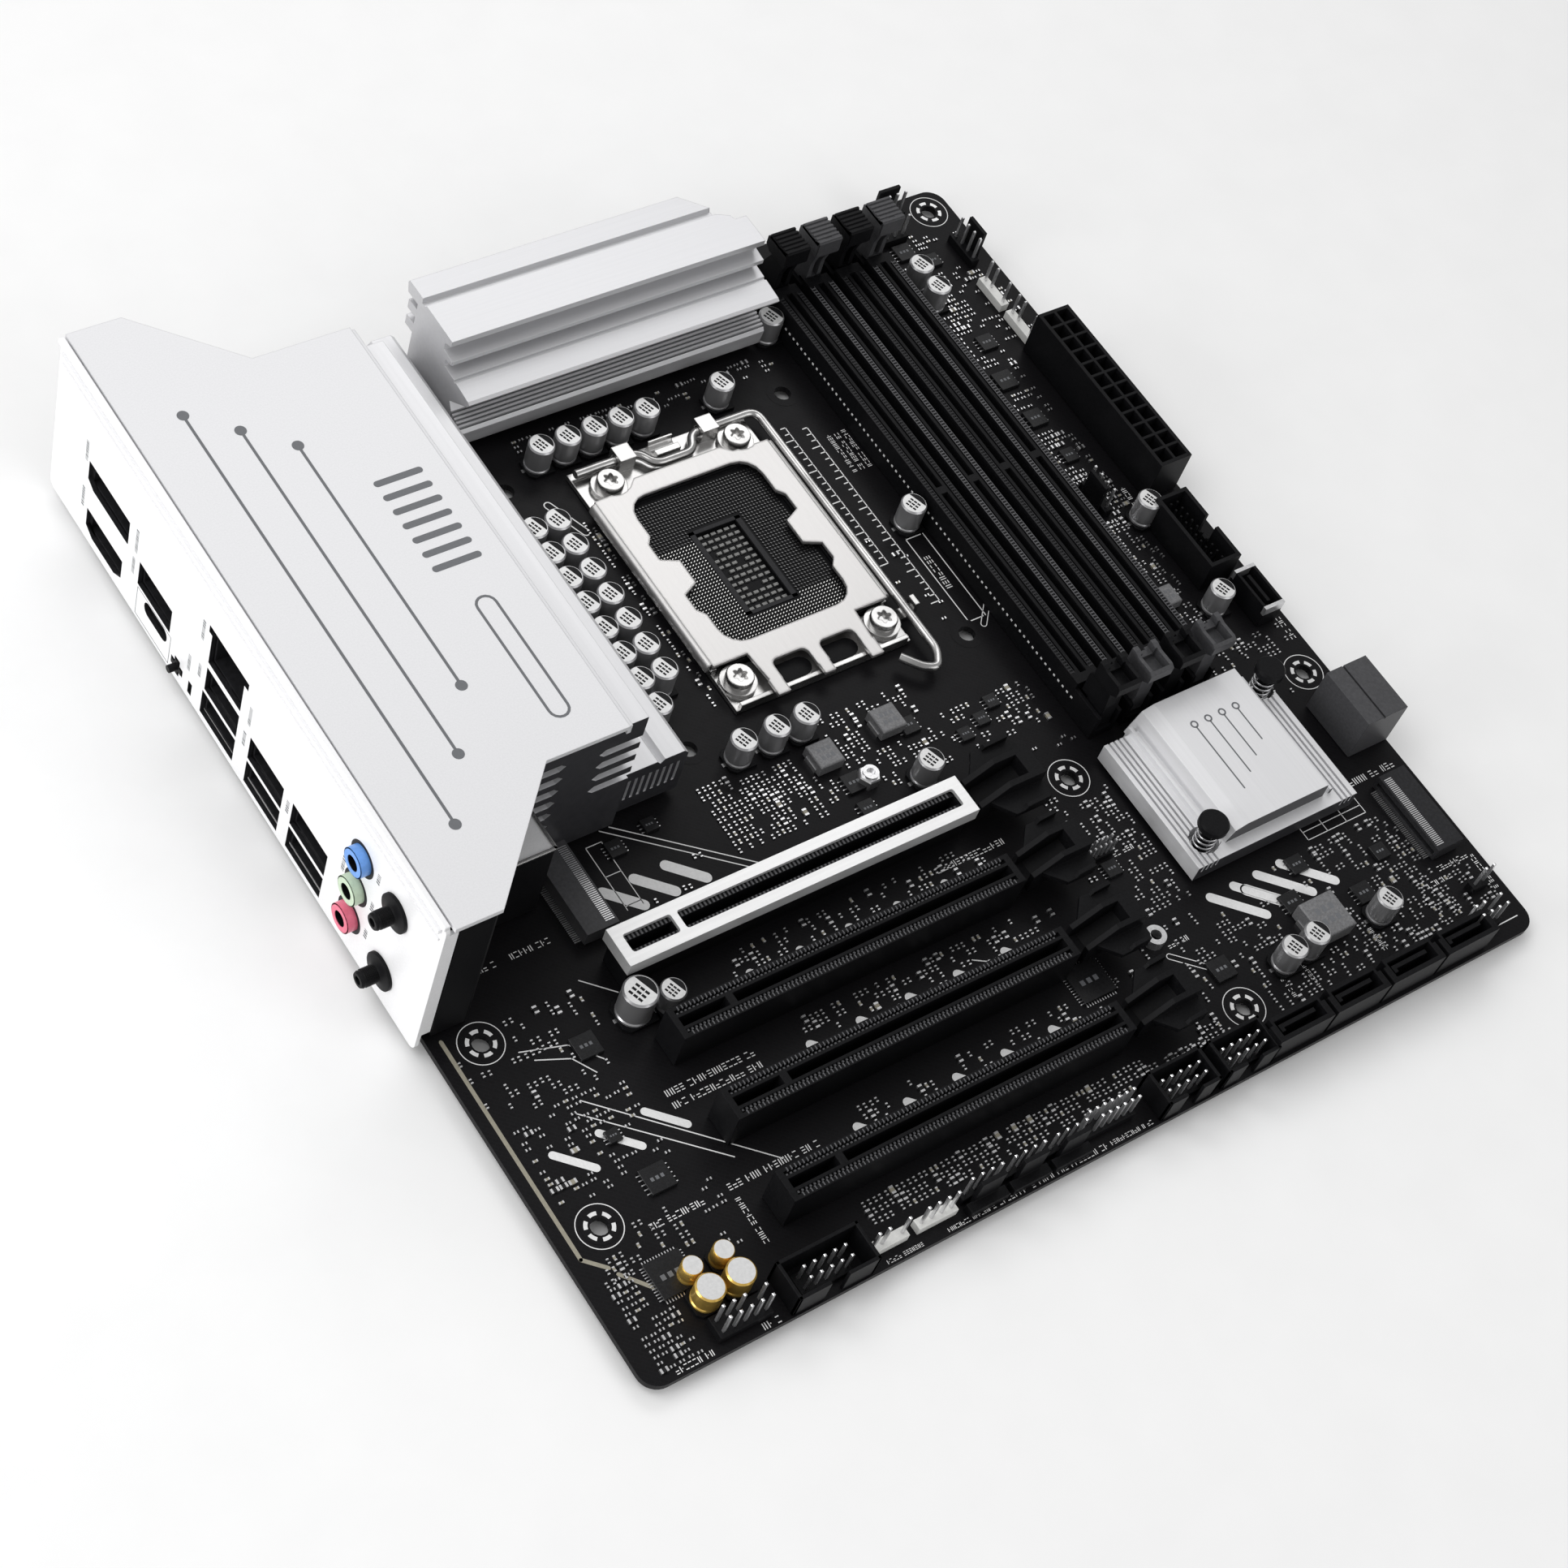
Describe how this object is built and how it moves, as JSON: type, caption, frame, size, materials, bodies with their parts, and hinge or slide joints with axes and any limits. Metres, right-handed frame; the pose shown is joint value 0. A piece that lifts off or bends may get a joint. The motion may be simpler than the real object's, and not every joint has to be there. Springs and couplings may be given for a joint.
{
  "type": "computer motherboard",
  "caption": "Micro-ATX computer motherboard with a silver port cover, hinged processor socket, four memory slots and four expansion slots.",
  "frame": {"origin": "bottom centre of the bounding box, level with the ends of the soldered pins under the board", "axes": "+X from the rear ports towards the front edge, +Y from the expansion slots towards the top edge, +Z out of the component side"},
  "size_m": [0.252, 0.244, 0.05],
  "materials": {
    "board": "satin solder mask over copper, black",
    "black_plastic": "moulded, satin",
    "grey_plastic": "moulded, satin",
    "silver": "matt silver-white coating on aluminium",
    "coated_steel": "matt silver-white coating on steel sheet",
    "bright_steel": "bright nickel-plated steel",
    "tinned_steel": "tinned, satin",
    "spring_steel": "wire, satin",
    "blue_plastic": "moulded",
    "green_plastic": "moulded",
    "pink_plastic": "moulded"
  },
  "bodies": {
    "board": {"socket_body": "black_plastic", "atx_connector": "black_plastic", "eps_connector": "black_plastic", "usb19_header": "black_plastic", "io_cover_base": "black_plastic", "antenna_post_upper": "black_plastic", "antenna_post_lower": "black_plastic", "dimm_slot_1": "black_plastic", "pcie_slot_1": "black_plastic", "sata_port_1": "black_plastic", "dimm_slot_2": "grey_plastic", "pcie_slot_2": "black_plastic", "sata_port_2": "black_plastic", "dimm_slot_3": "black_plastic", "pcie_slot_3": "black_plastic", "sata_port_3": "black_plastic", "dimm_slot_4": "grey_plastic", "pcie_slot_4": "black_plastic", "sata_port_4": "black_plastic", "pcb": "board", "sata_angled_block": "grey_plastic", "m2_connector_rear": "grey_plastic", "m2_connector_front": "grey_plastic", "io_cover": "silver", "rear_vrm_heatsink": "silver", "top_vrm_heatsink": "silver", "chipset_heatsink": "silver", "io_shield": "coated_steel", "pcie_sleeve": "coated_steel", "socket_backplate": "bright_steel", "socket_frame": "bright_steel", "displayport": "tinned_steel", "hdmi_port": "tinned_steel", "usb_c_stack": "tinned_steel", "lan_usb_stack": "tinned_steel", "usb_stack_1": "tinned_steel", "usb_stack_2": "tinned_steel", "usb_c_header": "tinned_steel", "pin_spring_1": "spring_steel", "pin_spring_2": "spring_steel", "audio_jack_blue": "blue_plastic", "audio_jack_green": "green_plastic", "audio_jack_pink": "pink_plastic"},
    "load_lever": {"load_lever": "bright_steel"},
    "load_plate": {"load_plate": "bright_steel"},
    "dimm_latch_top_1": {"dimm_latch_top_1": "black_plastic"},
    "dimm_latch_bottom_1": {"dimm_latch_bottom_1": "black_plastic"},
    "pcie_latch_1": {"pcie_latch_1": "black_plastic"},
    "dimm_latch_top_2": {"dimm_latch_top_2": "grey_plastic"},
    "dimm_latch_bottom_2": {"dimm_latch_bottom_2": "grey_plastic"},
    "pcie_latch_2": {"pcie_latch_2": "black_plastic"},
    "dimm_latch_top_3": {"dimm_latch_top_3": "black_plastic"},
    "dimm_latch_bottom_3": {"dimm_latch_bottom_3": "black_plastic"},
    "pcie_latch_3": {"pcie_latch_3": "black_plastic"},
    "dimm_latch_top_4": {"dimm_latch_top_4": "grey_plastic"},
    "dimm_latch_bottom_4": {"dimm_latch_bottom_4": "grey_plastic"},
    "pcie_latch_4": {"pcie_latch_4": "black_plastic"},
    "push_pin_1": {"push_pin_1": "black_plastic"},
    "push_pin_2": {"push_pin_2": "black_plastic"},
    "flashback_button": {"flashback_button": "black_plastic"}
  },
  "joints": [
    {"name": "load_lever_lift", "type": "hinge", "parent": "board", "child": "load_lever", "pos_m": [0.01005, 0.0751, 0.0072], "axis": [-1, 0, 0], "range_deg": [0, 120]},
    {"name": "load_plate_lift", "type": "hinge", "parent": "board", "child": "load_plate", "pos_m": [0.01005, 0.0034, 0.0066], "axis": [1, 0, 0], "range_deg": [0, 100]},
    {"name": "dimm_latch_top_1_swing", "type": "hinge", "parent": "board", "child": "dimm_latch_top_1", "pos_m": [0.0612, 0.1083, 0.0084], "axis": [-1, 0, 0], "range_deg": [0, 30]},
    {"name": "dimm_latch_bottom_1_swing", "type": "hinge", "parent": "board", "child": "dimm_latch_bottom_1", "pos_m": [0.0612, -0.033, 0.0084], "axis": [1, 0, 0], "range_deg": [0, 30]},
    {"name": "pcie_latch_1_press", "type": "hinge", "parent": "board", "child": "pcie_latch_1", "pos_m": [0.0194, -0.0393, 0.008], "axis": [0, 1, 0], "range_deg": [0, 12]},
    {"name": "dimm_latch_top_2_swing", "type": "hinge", "parent": "board", "child": "dimm_latch_top_2", "pos_m": [0.0707, 0.1083, 0.0084], "axis": [-1, 0, 0], "range_deg": [0, 30]},
    {"name": "dimm_latch_bottom_2_swing", "type": "hinge", "parent": "board", "child": "dimm_latch_bottom_2", "pos_m": [0.0707, -0.033, 0.0084], "axis": [1, 0, 0], "range_deg": [0, 30]},
    {"name": "pcie_latch_2_press", "type": "hinge", "parent": "board", "child": "pcie_latch_2", "pos_m": [0.0194, -0.05962, 0.008], "axis": [0, 1, 0], "range_deg": [0, 12]},
    {"name": "dimm_latch_top_3_swing", "type": "hinge", "parent": "board", "child": "dimm_latch_top_3", "pos_m": [0.0802, 0.1083, 0.0084], "axis": [-1, 0, 0], "range_deg": [0, 30]},
    {"name": "dimm_latch_bottom_3_swing", "type": "hinge", "parent": "board", "child": "dimm_latch_bottom_3", "pos_m": [0.0802, -0.033, 0.0084], "axis": [1, 0, 0], "range_deg": [0, 30]},
    {"name": "pcie_latch_3_press", "type": "hinge", "parent": "board", "child": "pcie_latch_3", "pos_m": [0.0194, -0.07994, 0.008], "axis": [0, 1, 0], "range_deg": [0, 12]},
    {"name": "dimm_latch_top_4_swing", "type": "hinge", "parent": "board", "child": "dimm_latch_top_4", "pos_m": [0.0897, 0.1083, 0.0084], "axis": [-1, 0, 0], "range_deg": [0, 30]},
    {"name": "dimm_latch_bottom_4_swing", "type": "hinge", "parent": "board", "child": "dimm_latch_bottom_4", "pos_m": [0.0897, -0.033, 0.0084], "axis": [1, 0, 0], "range_deg": [0, 30]},
    {"name": "pcie_latch_4_press", "type": "hinge", "parent": "board", "child": "pcie_latch_4", "pos_m": [0.0194, -0.10026, 0.008], "axis": [0, 1, 0], "range_deg": [0, 12]},
    {"name": "push_pin_1_press", "type": "slide", "parent": "board", "child": "push_pin_1", "axis": [0, 0, 1], "range_m": [-0.001, 0], "stiffness_N_per_m": 1500, "deforming": ["pin_spring_1"]},
    {"name": "push_pin_2_press", "type": "slide", "parent": "board", "child": "push_pin_2", "axis": [0, 0, 1], "range_m": [-0.001, 0], "stiffness_N_per_m": 1500, "deforming": ["pin_spring_2"]},
    {"name": "flashback_button_press", "type": "slide", "parent": "board", "child": "flashback_button", "axis": [1, 0, 0], "range_m": [0, 0.0006], "stiffness_N_per_m": 700}
  ]
}
